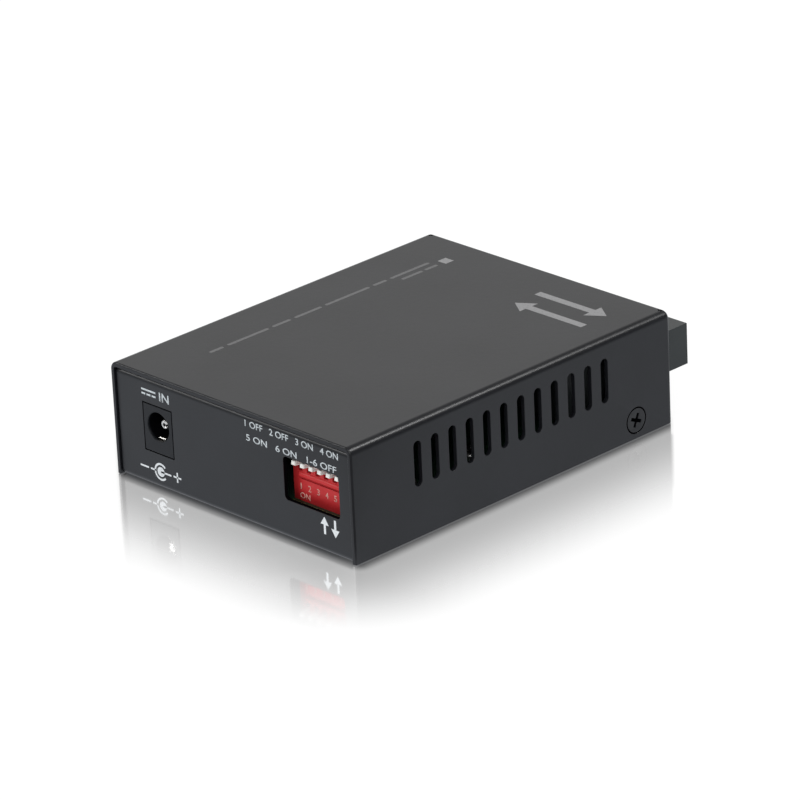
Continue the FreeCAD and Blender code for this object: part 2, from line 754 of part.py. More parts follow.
def make_jack_pin():
    """Rolled centre contact with one slit, and a solder leg down the back of the housing."""
    tip_y = rear_face - size("jack_pin_recess")
    stem = rod("y", "jack_x", JACK_BACK, "jack_axis_z", "jack_pin_radius", "jack_length - jack_pin_recess")
    stem = rounded("domed_stem", stem, "jack_pin_round", lambda edge: near(edge.BoundBox.YMin, tip_y))
    leg = block(("jack_x - jack_leg_width / 2", "jack_x + jack_leg_width / 2"),
                (f"{JACK_BACK} - jack_leg_sheet", JACK_BACK),
                (TAIL_LOW, "jack_axis_z + jack_pin_radius"))
    slit_start = f"({REAR_FACE} - jack_pin_recess - jack_pin_slit_depth)"
    hollow = rod("y", "jack_x", slit_start, "jack_axis_z", "jack_pin_hollow", "jack_pin_slit_depth + 1")
    slit = block(("jack_x - 2 * jack_pin_radius", "jack_x"), (slit_start, REAR_FACE),
                 ("jack_axis_z - jack_pin_slit / 2", "jack_axis_z + jack_pin_slit / 2"))
    return remove("dc_jack_centre_pin", join("dc_jack_pin_blank", [stem, leg]), [hollow, slit])


def make_jack_spring():
    """Leaf that bears on the plug's barrel from the bottom of the bore."""
    side = ("jack_x - spring_width / 2", "jack_x + spring_width / 2")
    leaf = block(side, (f"{JACK_BORE_END} - spring_sheet", f"{REAR_FACE} - spring_tip"),
                 (SPRING_LOW, f"{SPRING_LOW} + spring_sheet"))
    crown = rod("x", "jack_x - spring_width / 2", f"{REAR_FACE} - spring_tip - spring_crown_radius",
                f"{SPRING_LOW} + spring_sheet", "spring_crown_radius", "spring_width")
    crown_top = block(side,
                      (f"{REAR_FACE} - spring_tip - 2 * spring_crown_radius", f"{REAR_FACE} - spring_tip"),
                      (SPRING_LOW, f"{SPRING_LOW} + spring_sheet + spring_crown_radius"))
    bead = doc.addObject("Part::MultiCommon", "bead")
    bead.Shapes = [crown, crown_top]
    leg = block(side, (f"{JACK_BORE_END} - spring_sheet", JACK_BORE_END),
                (TAIL_LOW, f"{SPRING_LOW} + spring_sheet"))
    return join("dc_jack_spring_contact", [leaf, bead, leg])


# ---- mode switch ----

def lever_x(index):
    """Middle of a lever, counted from the one nearest the power jack."""
    return f"(switch_x + {(LEVERS - 1) / 2 - index} * switch_pitch)"


def lever_pivot_y():
    return f"({NUMBER_FACE} + lever_proud - lever_reach * cos(lever_angle * 1 deg))"


def switch_terminal_places():
    face = rear_face - size("switch_recess")
    near_row = face - size("switch_pin_setback")
    columns = [size("switch_x") + ((LEVERS - 1) / 2 - index) * size("switch_pitch")
               for index in range(LEVERS)]
    return [(x, y) for y in (near_row, near_row - 2 * size("switch_pitch")) for x in columns]


def make_switch_body():
    """Moulded block with a ledge across its face, six lever slots and their round seats."""
    width = ("switch_x - switch_width / 2", "switch_x + switch_width / 2")
    shape = block(width, (f"{NUMBER_FACE} - switch_thickness", NUMBER_FACE), ("board_top", "switch_high"))
    half_span = f"({LEVERS} * switch_pitch / 2 - switch_shoulder)"
    span = (f"switch_x - {half_span}", f"switch_x + {half_span}")
    ledge = block(span, (f"{NUMBER_FACE} - 1", f"{NUMBER_FACE} + ledge_depth"), ("ledge_low", "ledge_high"))
    ledge_face = rear_face - size("switch_recess") + size("ledge_depth")
    ledge = rounded("round_ledge", ledge, "ledge_round",
                    lambda edge: runs_along(edge, "x") and near(edge.BoundBox.YMin, ledge_face)
                    and near(edge.BoundBox.ZMin, size("ledge_high")))
    groove = block(span, (f"{NUMBER_FACE} - groove_depth", f"{NUMBER_FACE} + 1"),
                   ("ledge_low - groove_height", "ledge_low"))
    hollows = [groove]
    for index in range(LEVERS):
        low, high = (f"{lever_x(index)} {sign} (lever_width / 2 + lever_clearance)" for sign in "-+")
        hollows.append(rod("x", low, lever_pivot_y(), "lever_pivot_z", "lever_hub_radius + lever_clearance",
                           "lever_width + 2 * lever_clearance"))
        hollows.append(block((low, high), (lever_pivot_y(), f"{NUMBER_FACE} + 2"),
                             ("lever_slot_low", "lever_slot_high")))
    return remove("dip_switch_body", join("dip_switch_blank", [shape, ledge]), hollows)


def make_switch_terminals():
    pins = [
        middle_block((f"{x}", "switch_pin_width"), (f"{y}", "switch_pin_sheet"), (TAIL_LOW, "board_top"))
        for x, y in switch_terminal_places()
    ]
    return group("dip_switch_terminals", pins)


def make_lever(index):
    """Rocking lever: a round hub and a finger that stands out of the switch's face."""
    name = f"dip_lever_{index + 1}"
    hub = rod("x", "-lever_width / 2", "0", "0", "lever_hub_radius", "lever_width")
    finger = block(("-lever_width / 2", "lever_width / 2"), ("0", "lever_reach"),
                   ("-lever_height / 2", "lever_height / 2"))
    finger = rounded("finger", finger, "lever_round",
                     lambda edge: near(edge.BoundBox.YMin, size("lever_reach")))
    lever = join(name, [hub, finger])
    lever.Placement = Placement(Vector(), Rotation(Vector(1, 0, 0), size("lever_angle")))
    bind(lever, "Placement.Rotation.Angle", "lever_angle * 1 deg")
    for axis, formula in zip("xyz", (lever_x(index), lever_pivot_y(), "lever_pivot_z")):
        bind(lever, f"Placement.Base.{axis}", formula)
    return lever


# ---- fibre transceiver ----

def fibre_terminal_places():
    y = -size("case_depth") / 2 - size("fibre_nose_reach") + size("fibre_length") - size("fibre_pin_setback")
    return [(size("fibre_x") + step * size("fibre_pin_pitch"), y) for step in range(-4, 5)]


def port_x(side):
    return f"(fibre_x + {side} * port_pitch / 2)"


def make_fibre_housing():
    """Moulded block with two plug sockets in its nose and two posts under its body."""
    width = ("fibre_x - fibre_width / 2", "fibre_x + fibre_width / 2")
    back = f"({NOSE_FACE} + fibre_length)"
    solids = [
        block(width, (NOSE_FACE, back), ("fibre_nose_low", "fibre_nose_high")),
        block(width, ("board_front", back), ("fibre_body_low", "fibre_body_high")),
    ]
    hollows = []
    for side in (-1, 1):
        post_x, post_y = f"(fibre_x + {side} * fibre_post_x)", f"({NOSE_FACE} + fibre_post_y)"
        solids.append(rod("z", post_x, post_y, TAIL_LOW, "fibre_post_radius",
                          f"fibre_body_low + 1 - {TAIL_LOW}"))
        solids.append(middle_block((post_x, "fibre_foot"), (post_y, "fibre_foot"),
                                   ("board_top", "fibre_body_low")))
        x = (port_x(side), "port_width")
        hollows.append(middle_block(x, (NOSE_FACE, "2 * port_depth"),
                                    (f"{PORT_Z} - port_height / 2", f"{PORT_Z} + port_height / 2")))
        hollows.append(middle_block((port_x(side), "port_key_width"), (NOSE_FACE, "2 * port_key_depth"),
                                    (PORT_Z, f"{PORT_Z} + port_height / 2 + port_key_height")))
    return remove("transceiver_housing", join("transceiver_blank", solids), hollows)


def make_fibre_port(name, side):
    """Ferrule sleeve and two latch arms on one plate, at the bottom of a socket."""
    x = port_x(side)
    sleeve_start = f"({PORT_BACK} - port_plate - port_sleeve_length)"
    arm_z = (f"{PORT_Z} - latch_arm_height / 2", f"{PORT_Z} + latch_arm_height / 2")
    solids = [
        block((f"{x} - port_width / 2", f"{x} + port_width / 2"), (f"{PORT_BACK} - port_plate", PORT_BACK),
              (f"{PORT_Z} - port_height / 2", f"{PORT_Z} + port_height / 2")),
        rod("y", x, sleeve_start, PORT_Z, "port_sleeve_radius", "port_sleeve_length + port_plate / 2"),
    ]
    for edge in (-1, 1):
        middle = f"({x} + {edge} * latch_arm_x)"
        solids.append(block((f"{middle} - latch_arm_sheet / 2", f"{middle} + latch_arm_sheet / 2"),
                            (sleeve_start, PORT_BACK), arm_z))
        solids.append(middle_block((f"({middle} - {edge} * latch_hook / 2)", "latch_hook"),
                                   (f"({sleeve_start} + latch_hook_length / 2)", "latch_hook_length"), arm_z))
    bore = rod("y", x, f"{sleeve_start} - 1", PORT_Z, "port_sleeve_bore",
               "port_sleeve_length + port_plate / 2 + 1")
    return remove(name, join(f"{name}_blank", solids), [bore])


def make_fibre_terminals():
    pins = [
        middle_block((f"{x}", "fibre_pin_width"), (f"{y}", "fibre_pin_width"), (TAIL_LOW, "fibre_body_low"))
        for x, y in fibre_terminal_places()
    ]
    return group("transceiver_terminals", pins)


# ---- copper port ----

def copper_terminal_places():
    y = front_face - size("copper_proud") + size("copper_length") - size("tail_setback")
    return [(size("copper_x") + (index - 3.5) * size("tail_pitch"),
             y + (-1, 1)[index % 2] * size("tail_stagger"))
            for index in range(8)]


def make_copper_shield():
    """Folded tin box open at its front and underneath."""
    outer = block(("copper_x - copper_width / 2", "copper_x + copper_width / 2"), (COPPER_FACE, COPPER_BACK),
                  ("board_top", "board_top + copper_height"))
    inner = block(("copper_x - copper_width / 2 + copper_shield",
                   "copper_x + copper_width / 2 - copper_shield"),
                  (f"{COPPER_FACE} + copper_shield", f"{COPPER_BACK} - copper_shield"),
                  ("board_top - 1", "board_top + copper_height - copper_shield"))
    mouth = block(("copper_x - plug_width / 2 - copper_frame", "copper_x + plug_width / 2 + copper_frame"),
                  (f"{COPPER_FACE} - 1", f"{COPPER_FACE} + 1"),
                  ("board_top + latch_low - copper_frame", "board_top + plug_high + copper_frame"))
    return remove("rj45_shield", outer, [inner, mouth])


def make_copper_housing():
    """Moulded insert with the plug's socket, its latch channel and two board pegs."""
    shape = block(("copper_x - copper_width / 2 + copper_shield",
                   "copper_x + copper_width / 2 - copper_shield"),
                  (f"{COPPER_FACE} + copper_shield", f"{COPPER_BACK} - copper_shield"),
                  ("board_top", "board_top + copper_height - copper_shield"))
    pegs = [
        rod("z", f"copper_x + {side} * copper_peg_x", f"{COPPER_FACE} + copper_peg_y", TAIL_LOW,
            "copper_peg_radius", f"board_top + 1 - {TAIL_LOW}")
        for side in (-1, 1)
    ]
    depth = (COPPER_FACE, "2 * plug_depth")
    socket = middle_block(("copper_x", "plug_width"), depth,
                          ("board_top + plug_low", "board_top + plug_high"))
    latch = middle_block(("copper_x", "latch_width"), depth,
                         ("board_top + latch_low", "board_top + plug_high"))
    comb_seat = block(("copper_x - comb_width / 2", "copper_x + comb_width / 2"),
                      (f"{COPPER_FACE} + plug_depth - comb_reach", f"{COPPER_BACK} - comb_back"),
                      ("board_top + plug_high", "board_top + plug_high + comb_height"))
    tail_well = block(("copper_x - tail_well_width / 2", "copper_x + tail_well_width / 2"),
                      (f"{COPPER_BACK} - comb_back - tail_well_length", f"{COPPER_BACK} - comb_back"),
                      ("board_top - 1", "board_top + plug_high + comb_height"))
    return remove("rj45_housing", join("rj45_block", [shape, *pegs]), [socket, latch, comb_seat, tail_well])


def make_copper_contacts():
    """Eight spring fingers that slope down into the socket, with their tails to the board."""
    top = "(board_top + plug_high)"
    bar_z = (top, f"{top} + contact_sheet")
    pieces = []
    for index, (tail_x, tail_y) in enumerate(copper_terminal_places()):
        x = f"(copper_x + ({index} - 3.5) * contact_pitch)"
        finger = doc.addObject("Part::Box", "finger")
        bind(finger, "Length", "contact_width")
        bind(finger, "Width", "contact_length")
        bind(finger, "Height", "contact_sheet")
        finger.Placement = Placement(Vector(), Rotation(Vector(1, 0, 0), size("contact_slope")))
        corner = (f"{x} - contact_width / 2", f"{COPPER_FACE} + contact_start", f"{top} - contact_drop")
        for axis, formula in zip("xyz", corner):
            bind(finger, f"Placement.Base.{axis}", formula)
        run = block((f"{x} - contact_width / 2", f"{x} + contact_width / 2"),
                    (f"{COPPER_FACE} + plug_depth - contact_bend", f"{tail_y} + tail_width / 2"), bar_z)
        tail = middle_block((f"{tail_x}", "tail_width"), (f"{tail_y}", "tail_width"), (TAIL_LOW, bar_z[1]))
        ends = [f"{x} - contact_width / 2", f"{tail_x} + tail_width / 2"]
        if index < 4:
            ends = [f"{tail_x} - tail_width / 2", f"{x} + contact_width / 2"]
        link = block(ends, (f"{tail_y} - tail_width / 2", f"{tail_y} + tail_width / 2"), bar_z)
        pieces.append(join("contact", [finger, run, link, tail]))
    return group("rj45_contacts", pieces)


# ---- indicator lamps ----

def lamp_places():
    """Each lamp's middle along X and Z, and how far behind the panel its legs go down."""
    places = []
    for level in (0, 1):
        for column in (-1, 0, 1):
            places.append((f"(lamp_x + {column} * lamp_pitch_x)", f"(lamp_low_z + {level} * lamp_pitch_z)",
                           f"(lamp_leg_y + {level} * lamp_leg_step)"))
    return places


def lamp_terminal_places():
    places = []
    for level in (0, 1):
        for column in (-1, 0, 1):
            x = size("lamp_x") + column * size("lamp_pitch_x")
            y = front_face + size("lamp_leg_y") + level * size("lamp_leg_step")
            places += [(x - size("lamp_leg_x"), y), (x + size("lamp_leg_x"), y)]
    return places


def make_lamp_holder():
    """Black block behind the front panel that carries the lamps in two rows."""
    front = f"({FRONT_FACE} + base_sheet + holder_gap)"
    shape = block(("lamp_x - 1.5 * lamp_pitch_x", "lamp_x + 1.5 * lamp_pitch_x"),
                  (front, f"{front} + holder_depth"),
                  ("board_top", "lamp_low_z + lamp_pitch_z + holder_top"))
    holes = [rod("y", x, f"{front} - 1", z, "lamp_radius", "holder_depth + 2") for x, z, _ in lamp_places()]
    return remove("lamp_holder", shape, holes)


def make_lamp(index):
    """Lens with a domed end and a collar behind the holder, and its two bent legs."""
    x, z, leg = lamp_places()[index]
    tip_y = front_face - size("lamp_proud")
    holder_back = f"({FRONT_FACE} + base_sheet + holder_gap + holder_depth)"
    lens = rod("y", x, f"{FRONT_FACE} - lamp_proud", z, "lamp_radius",
               f"{holder_back} + lamp_collar_length - {FRONT_FACE} + lamp_proud")
    lens = rounded("lens", lens, "lamp_round", lambda edge: near(edge.BoundBox.YMax, tip_y))
    pieces = [lens, rod("y", x, holder_back, z, "lamp_radius + lamp_collar", "lamp_collar_length")]
    leg_y = f"({FRONT_FACE} + {leg})"
    for side in (-1, 1):
        middle = f"({x} + {side} * lamp_leg_x)"
        across = (f"{middle} - lamp_leg_width / 2", f"{middle} + lamp_leg_width / 2")
        pieces.append(block(across,
                            (f"{holder_back} + lamp_collar_length / 2", f"{leg_y} + lamp_leg_width / 2"),
                            (f"{z} - lamp_leg_width / 2", f"{z} + lamp_leg_width / 2")))
        pieces.append(middle_block((middle, "lamp_leg_width"), (leg_y, "lamp_leg_width"),
                                   (TAIL_LOW, f"{z} + lamp_leg_width / 2")))
    return join(f"lamp_{index + 1}", pieces)


# ---- parts soldered on the board ----

def on_board(low, high):
    """Heights above the board as a pair of formulas."""
    return (f"board_top + {low}", f"board_top + {high}")


def make_leaded_chip(name, x, y, width, length, height, leads, pitch, all_sides):
    """Moulded package with flat leads along two sides or all four."""
    pieces = [middle_block((f"{x}", f"{width}"), (f"{y}", f"{length}"), on_board("package_stand", height))]
    lead_z = ("board_top", "board_top + package_stand + lead_sheet")
    lead_width = f"lead_share * {pitch}"
    for index in range(leads):
        along = (index - (leads - 1) / 2) * pitch
        pieces.append(middle_block((f"{x}", f"{width} + 2 * lead_reach"),
                                   (f"({y} + {along})", lead_width), lead_z))
        if all_sides:
            pieces.append(middle_block((f"({x} + {along})", lead_width),
                                       (f"{y}", f"{length} + 2 * lead_reach"), lead_z))
    return join(name, pieces)


def make_crystal(x, y, length, width, height):
    """Drawn metal can with round ends on a flat foot."""
    foot_height, rim = 0.4, 0.8
    can = middle_block((x, length), (y, width), on_board(foot_height, height))
    can = rounded("can", can, "crystal_round", lambda edge: runs_along(edge, "z"))
    foot = middle_block((x, f"{length} + {rim}"), (y, f"{width} + {rim}"), on_board(0, foot_height))
    return join("crystal", [can, foot])


def make_capacitor(name, x, y, radius, height):
    """Aluminium can in a sleeve, crimped above its seal."""
    seal_height, crimp_low, crimp_height, can_low = 2.0, 0.3, 0.9, 1.8
    seal = rod("z", x, y, "board_top", f"{radius} - capacitor_seal", f"{seal_height}")
    crimp = rod("z", x, y, f"board_top + {crimp_low}", f"{radius}", f"{crimp_height}")
    can = rod("z", x, y, f"board_top + {can_low}", f"{radius}", f"{height} - {can_low}")
    top_z = size("board_top") + height
    can = rounded("can", can, "capacitor_round", lambda edge: near(edge.BoundBox.ZMin, top_z))
    return join(name, [seal, crimp, can])


def make_inductor(x, y, width, height):
    """Ferrite drum with a wound waist between two square flanges."""
    flange_height, waist_inset = 1.0, 0.5
    flanges = [
        middle_block((x, width), (y, width), on_board(low, low + flange_height))
        for low in (0, height - flange_height)
    ]
    waist = rod("z", x, y, f"board_top + {flange_height / 2}", f"{width} / 2 - {waist_inset}",
                f"{height - flange_height}")
    return join("power_inductor", [*flanges, waist])


def make_regulator(x, y, width, length, height):
    """Flat moulded package with a wide tab on one side and three legs on the other."""
    reach, lead_height, leg_width, leg_pitch = 1.75, 0.4, 0.7, 2.3
    case = middle_block((x, width), (y, length), on_board("package_stand", height))
    tab = middle_block((x, f"{width} / 2"), (f"({y} + {reach})", f"{length}"), on_board(0, lead_height))
    legs = [
        middle_block((f"({x} + {step} * {leg_pitch})", f"{leg_width}"), (f"({y} - {reach})", f"{length}"),
                     on_board(0, lead_height))
        for step in (-1, 0, 1)
    ]
    return join("voltage_regulator", [case, tab, *legs])


def make_diode(x, y, width, length, height):
    """Small moulded block with a strap of metal under each end."""
    strap_height, strap_reach = 0.5, 0.5
    case = middle_block((x, width), (y, length), on_board("package_stand", height))
    strap = middle_block((x, f"{width} * strap_share"), (y, f"{length} + 2 * {strap_reach}"),
                         on_board(0, strap_height))
    return join("rectifier_diode", [case, strap])


# ---- the whole set ----

PARTS = [
    make_top_cover(),
    make_base_chassis(),
    make_cover_screw("cover_screw_left", -1),
    make_cover_screw("cover_screw_right", 1),
    make_circuit_board(),
    make_standoffs(),
    make_board_screws(),
    make_jack_housing(),
    make_jack_pin(),
    make_jack_spring(),
    make_switch_body(),
    make_switch_terminals(),
    *[make_lever(index) for index in range(LEVERS)],
    make_fibre_housing(),
    make_fibre_port("fibre_port_transmit", -1),
    make_fibre_port("fibre_port_receive", 1),
    make_fibre_terminals(),
    make_copper_shield(),
    make_copper_housing(),
    make_copper_contacts(),
    make_lamp_holder(),
    *[make_lamp(index) for index in range(len(lamp_places()))],
    make_leaded_chip("converter_chip", x=2.0, y=-14.0, width=14.0, length=14.0, height=2.1,
                     leads=16, pitch=0.8, all_sides=True),
    make_leaded_chip("magnetics_module", x=20.5, y=-16.5, width=7.0, length=12.7, height=5.6,
                     leads=8, pitch=1.27, all_sides=False),
    make_leaded_chip("memory_chip", x=-14.0, y=3.0, width=3.9, length=4.9, height=1.6,
                     leads=4, pitch=1.27, all_sides=False),
    make_crystal(x="-2", y="4", length="10.2", width="3.8", height="3.5"),
    make_regulator(x="-6", y="24", width="6.5", length="3.5", height="1.7"),
    make_capacitor("capacitor_1", x="22", y="12", radius="3.15", height=10.5),
    make_capacitor("capacitor_2", x="12", y="12", radius="3.15", height=10.5),
    make_capacitor("capacitor_3", x="-14", y="24", radius="2.5", height=10.5),
    make_inductor(x="8", y="30", width="7.6", height=4.4),
    make_diode(x="14.5", y="22", width="3.6", length="4.4", height="2.3"),
]

doc.recompute()
for item in doc.Objects:
    if "Invalid" in item.State or "Error" in item.State:
        raise RuntimeError(f"{item.Name} ({item.Label}) failed: {item.State}")
os.makedirs("parts", exist_ok=True)
for part in PARTS:
    if part.Shape.isNull() or not part.Shape.isValid():
        raise RuntimeError(f"{part.Label} has no valid shape")
    part.Shape.exportStep(f"parts/{part.Label}.step")
    print(part.Label, len(part.Shape.Solids), round(part.Shape.Volume, 1), part.Shape.BoundBox)
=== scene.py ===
import json
import math

import bmesh
import bpy
from mathutils import Matrix, Vector

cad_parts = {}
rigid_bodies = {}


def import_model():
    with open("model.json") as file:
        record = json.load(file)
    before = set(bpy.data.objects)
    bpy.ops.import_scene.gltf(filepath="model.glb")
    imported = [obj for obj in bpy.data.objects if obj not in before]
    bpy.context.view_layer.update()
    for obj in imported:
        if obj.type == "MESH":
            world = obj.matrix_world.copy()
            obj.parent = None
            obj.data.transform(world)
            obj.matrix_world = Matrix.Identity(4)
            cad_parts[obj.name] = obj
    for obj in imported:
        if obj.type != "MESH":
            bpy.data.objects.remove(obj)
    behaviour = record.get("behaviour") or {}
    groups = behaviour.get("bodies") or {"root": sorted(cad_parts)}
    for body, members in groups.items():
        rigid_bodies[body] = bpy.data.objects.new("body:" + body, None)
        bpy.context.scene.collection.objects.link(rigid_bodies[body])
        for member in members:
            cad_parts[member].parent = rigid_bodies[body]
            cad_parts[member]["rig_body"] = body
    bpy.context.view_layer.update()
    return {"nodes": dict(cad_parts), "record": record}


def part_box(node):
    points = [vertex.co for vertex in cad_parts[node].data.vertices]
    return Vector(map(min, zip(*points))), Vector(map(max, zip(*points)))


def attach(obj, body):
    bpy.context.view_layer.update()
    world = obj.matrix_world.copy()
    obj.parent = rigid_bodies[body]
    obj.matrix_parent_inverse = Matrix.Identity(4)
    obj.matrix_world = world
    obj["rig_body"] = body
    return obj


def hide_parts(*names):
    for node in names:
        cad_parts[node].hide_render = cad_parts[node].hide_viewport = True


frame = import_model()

nodes = frame["nodes"]
mm = 0.001


# ---- places on the object ----


def middle_of(node):
    """The middle of a node's box."""
    low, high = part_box(node)
    return (low + high) / 2


front_y, rear_y = (corner.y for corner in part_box("base_chassis"))
side_x, cover_y, lid_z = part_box("top_cover")[1]
board_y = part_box("circuit_board")[1].y
pin_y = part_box("dc_jack_centre_pin")[1].y
screw_y, screw_z = middle_of("cover_screw_left").yz
mounts = {row["name"]: row for row in frame["record"]["mounts"]}
jack_x, _, jack_z = mounts["power_jack"]["pos_m"]
switch_low, switch_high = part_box("dip_switch_body")
lever_x = [middle_of(f"dip_lever_{n}").x for n in range(1, 7)]


# ---- shader recipes ----


class Tone:
    """A socket's value. Reckoning with it adds Math nodes."""

    def __init__(self, recipe, socket):
        self.recipe = recipe
        self.socket = socket

    def math(self, operation, *terms):
        return self.recipe.node("ShaderNodeMath", {"operation": operation}, dict(enumerate(terms)))

    def __add__(self, other):
        return self.math("ADD", self, other)

    def __radd__(self, other):
        return self.math("ADD", other, self)

    def __sub__(self, other):
        return self.math("SUBTRACT", self, other)

    def __rsub__(self, other):
        return self.math("SUBTRACT", other, self)

    def __mul__(self, other):
        return self.math("MULTIPLY", self, other)

    def __rmul__(self, other):
        return self.math("MULTIPLY", other, self)

    def __pow__(self, power):
        return self.math("POWER", self, power)

    def __abs__(self):
        return self.math("ABSOLUTE", self)

    def beyond(self, edge):
        """How far the value lies outside plus or minus edge."""
        return self.math("MAXIMUM", abs(self) - edge, 0.0)


class Recipe:
    """The nodes of one material or of the world."""

    def __init__(self, tree):
        self.tree = tree
        tree.nodes.clear()

    def node(self, kind, settings=None, inputs=None, output=0):
        """A new node's output, or nothing where the node has none."""
        made = self.tree.nodes.new(kind)
        for name, value in (settings or {}).items():
            setattr(made, name, value)
        for name, value in (inputs or {}).items():
            if isinstance(value, Tone):
                self.tree.links.new(value.socket, made.inputs[name])
            else:
                made.inputs[name].default_value = value
        return Tone(self, made.outputs[output]) if made.outputs else None

    def outputs(self, kind, inputs=None):
        """Every output of a new node, by name."""
        first = self.node(kind, inputs=inputs)
        return {socket.name: Tone(self, socket) for socket in first.socket.node.outputs}

    def parts(self, vector):
        """The three numbers of a vector."""
        return list(self.outputs("ShaderNodeSeparateXYZ", {0: vector}).values())

    def between(self, value, low, high):
        """0 at low, 1 at high, smooth and held at both ends."""
        return self.node("ShaderNodeMapRange", {"interpolation_type": "SMOOTHSTEP"},
                         {"Value": value, "From Min": low, "From Max": high})

    def blend(self, share, first, second):
        """The second colour over the first."""
        return self.node("ShaderNodeMix", {"data_type": "RGBA"},
                         {0: share, 6: first, 7: second}, 2)


def length(first, second):
    """The length of a flat step."""
    return (first * first + second * second) ** 0.5


class Finish(Recipe):
    """A material on the piece's own coordinates, which are the frame's."""

    dead_black = (0.002, 0.002, 0.0025, 1.0)

    def __init__(self, name):
        self.material = bpy.data.materials.new(name)
        self.material.use_nodes = True
        super().__init__(self.material.node_tree)
        self.place = self.node("ShaderNodeTexCoord", output="Object")

    def places(self):
        """How far across, along and up the object a point lies."""
        return self.parts(self.place)

    def noise(self, scale, detail=2.0, rough=0.5, place=None):
        return self.node("ShaderNodeTexNoise",
                         inputs={"Vector": place or self.place, "Scale": scale,
                                 "Detail": detail, "Roughness": rough})

    def stretched(self, x, y, z):
        """The coordinates drawn out by a different amount along each axis."""
        return self.node("ShaderNodeMapping", {"vector_type": "POINT"},
                         {"Vector": self.place, "Scale": (x, y, z)})

    def tint(self, colour, change, scale):
        """A colour that drifts lighter and darker by a share of itself."""
        low = [channel * (1 - change) for channel in colour] + [1.0]
        high = [channel * (1 + change) for channel in colour] + [1.0]
        return self.blend(self.between(self.noise(scale, 3.0), 0.3, 0.7), low, high)

    def surface(self, colour, roughness, height, depth, edge=0.0, metallic=0.0, shade=None,
                **fixed):
        """Ends the recipe with a glossy body whose relief is depth deep.

        edge is the radius that its edges look rounded by, shade is the share of dead black
        where no light gets in, and fixed holds the sockets that never vary.
        """
        relief = {"Height": height, "Strength": 1.0, "Distance": depth}
        if edge:
            relief["Normal"] = self.node("ShaderNodeBevel", {"samples": 6}, {"Radius": edge})
        inputs = {"Base Color": colour, "Roughness": roughness, "Metallic": metallic,
                  "Normal": self.node("ShaderNodeBump", inputs=relief)}
        for name, value in fixed.items():
            inputs[name.replace("_", " ")] = value
        body = self.node("ShaderNodeBsdfPrincipled", inputs=inputs)
        if shade is not None:
            black = self.node("ShaderNodeBsdfDiffuse", inputs={"Color": self.dead_black})
            body = self.node("ShaderNodeMixShader", inputs={0: shade, 1: body, 2: black})
        self.node("ShaderNodeOutputMaterial", inputs={"Surface": body})
        return self.material


# ---- painted shade: dead black where no light gets in ----


def panel_cuts(coat):
    """Painted shade: 1 on the cut edges of the openings in the rear panel, clear of the panel's own
    edges.
    """
    across, along, up = coat.places()
    sunk = coat.between(along, rear_y - 0.04 * mm, rear_y - 0.14 * mm) \
        * coat.between(along, rear_y - 1.4 * mm, rear_y - 1.2 * mm)
    middle = coat.between(up, 3 * mm, 4 * mm) * coat.between(up, 22 * mm, 21 * mm)
    return sunk * middle * (1.0 - coat.between(across.beyond(33.4 * mm), 0.0, 0.2 * mm))


def screw_pits(coat):
    """Painted shade: 1 in the countersinks round the side screws."""
    across, along, up = coat.places()
    beside = length(along - screw_y, up - screw_z)
    sunk = 1.0 - coat.between(across.beyond(side_x - 0.1 * mm), 0.0, 0.06 * mm)
    return sunk * coat.between(beside, 3.25 * mm, 3.15 * mm)


def screw_recess(metal):
    """Painted shade: 1 in the recess of a side screw."""
    across, _, _ = metal.places()
    return 1.0 - metal.between(across.beyond(side_x - 0.15 * mm), 0.0, 0.1 * mm)


def jack_bore(plastic):
    """Painted shade: 1 inside the bore of the power jack."""
    across, along, up = plastic.places()
    off_axis = length(across - jack_x, up - jack_z)
    return plastic.between(off_axis, 3.35 * mm, 3.25 * mm) \
        * plastic.between(along, rear_y - 0.1 * mm, rear_y - 0.8 * mm)


def pin_bore(metal):
    """Painted shade: 1 inside the hollow of the jack's pin."""
    across, along, up = metal.places()
    off_axis = length(across - jack_x, up - jack_z)
    return metal.between(off_axis, 0.43 * mm, 0.33 * mm) \
        * metal.between(along, pin_y + 0.02 * mm, pin_y - 0.1 * mm)


def switch_shadow(plastic):
    """Rises towards the end and the foot of the switch's face, where the window shades it."""
    across, _, up = plastic.places()
    end = 0.42 * plastic.between(across, lever_x[0] - 0.6 * mm, lever_x[0] + 1.4 * mm)
    foot = 0.45 * plastic.between(up, switch_low.z + 3.4 * mm, switch_low.z + 0.4 * mm)
    return end + foot * (1.0 - end)


# ---- finishes ----


def coated_steel(name, colour, roughness, shaded):
    """Fine-grained powder coat: dark, half gloss, with a soft orange peel."""
    coat = Finish(name)
    grain = coat.noise(2600, 2.0)
    peel = coat.noise(620, 1.0)
    haze = coat.noise(45, 3.0)
    fleck = coat.between(coat.noise(5200, 1.0), 0.63, 0.75)
    body = coat.tint(colour, 0.10, 70)
    body = coat.blend(fleck * 0.25, body, [channel * 2.6 for channel in colour] + [1.0])
    shine = roughness + 0.05 * (haze - 0.5) + 0.06 * (grain - 0.5)
    height = grain * 0.6 + peel * 0.8
    return coat.surface(body, shine, height, 0.010 * mm, 0.12 * mm, shade=shaded(coat), IOR=1.5)


def moulded(name, colour, roughness, depth=0.012, edge=0.12, shaded=None, **fixed):
    """Spark-eroded moulded plastic. Its texture's depth and its edges are in millimetres."""
    plastic = Finish(name)
    texture = plastic.noise(1900, 2.0, 0.6)
    flow = plastic.noise(90, 2.0)
    shine = roughness + 0.08 * (texture - 0.5) + 0.06 * (flow - 0.5)
    return plastic.surface(plastic.tint(colour, 0.05, 160), shine, texture, depth * mm, edge * mm,
                           shade=shaded and shaded(plastic), **fixed)


